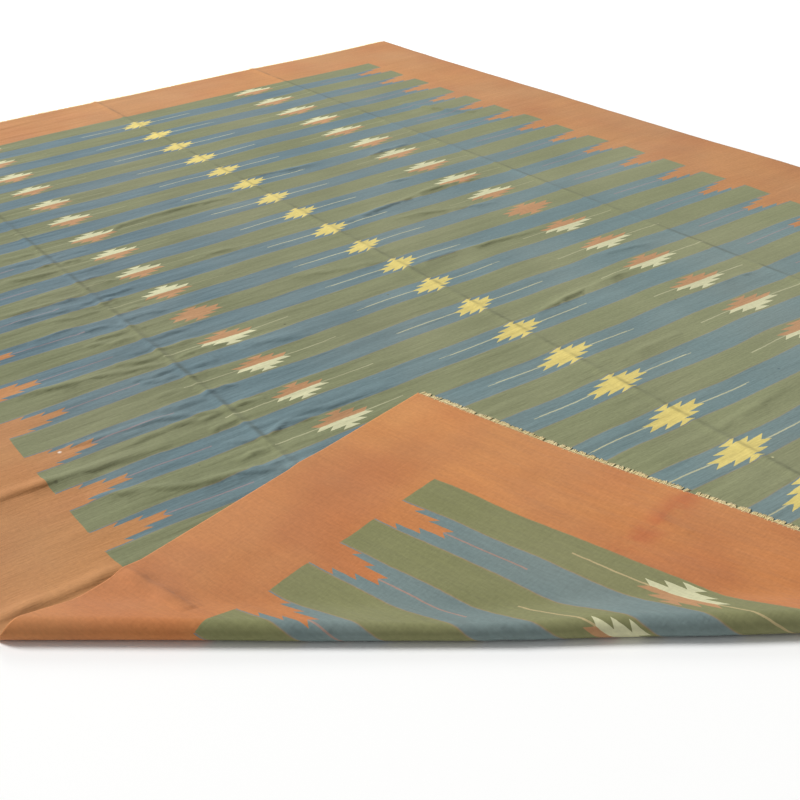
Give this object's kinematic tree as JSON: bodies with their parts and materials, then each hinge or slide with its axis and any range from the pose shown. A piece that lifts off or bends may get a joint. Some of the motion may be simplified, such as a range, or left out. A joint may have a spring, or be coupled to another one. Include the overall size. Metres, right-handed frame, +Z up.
{
  "type": "dhurrie rug",
  "caption": "Large flat-woven cotton rug with broad stripes, stepped diamonds and plain borders, lying flat with one corner folded back over it.",
  "frame": {"origin": "on the floor under the middle of the rug", "axes": "+X along the rug's length, which is its warp; +Y across it, along the stripes, which is its weft; +Z up. The corner at +X and -Y is folded back over the rug."},
  "size_m": [4.8699, 3.3162, 0.0449],
  "materials": {
    "woven_cotton": "matt flat weave, weft-faced",
    "warp_ends": "matt undyed cotton yarn"
  },
  "bodies": {
    "root": {"rug": "woven_cotton", "fringe_far": "warp_ends", "fringe_near": "warp_ends"}
  },
  "joints": []
}
